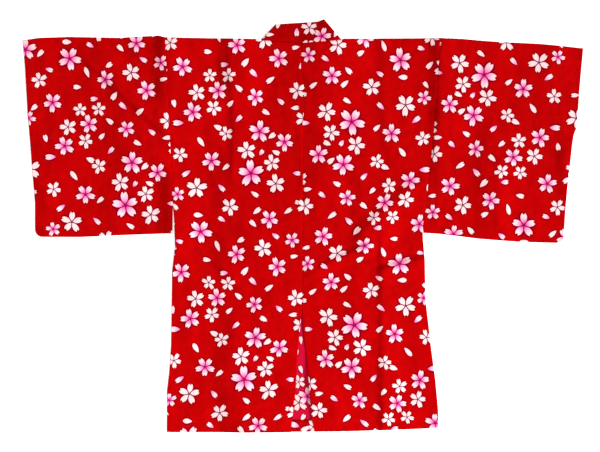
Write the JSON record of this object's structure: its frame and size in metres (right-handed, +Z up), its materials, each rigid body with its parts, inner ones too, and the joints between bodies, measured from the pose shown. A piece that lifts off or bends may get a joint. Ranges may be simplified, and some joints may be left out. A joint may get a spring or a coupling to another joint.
{
  "type": "kimono laid flat",
  "caption": "Short cotton kimono laid flat with its back up: wide sleeves, standing neck band, straight panels and a vent at the foot of the back seam.",
  "frame": {"origin": "on the surface the kimono lies on, in the middle of its outline", "axes": "+Z up out of the surface, +Y from the hem towards the neck, +X towards the wearer's right sleeve, which is the right side of a view from above because the kimono lies face down"},
  "size_m": [1.344, 0.9905, 0.0064],
  "materials": {
    "printed_cotton": "matte plain-woven cotton, red with white and pink cherry blossoms, paler crimson on its wrong side",
    "collar_cotton": "the same printed cotton, doubled into a neck band"
  },
  "bodies": {
    "root": {"body_left": "printed_cotton", "body_right": "printed_cotton", "sleeve_left": "printed_cotton", "sleeve_right": "printed_cotton", "okumi_left": "printed_cotton", "okumi_right": "printed_cotton", "collar": "collar_cotton"}
  },
  "joints": []
}
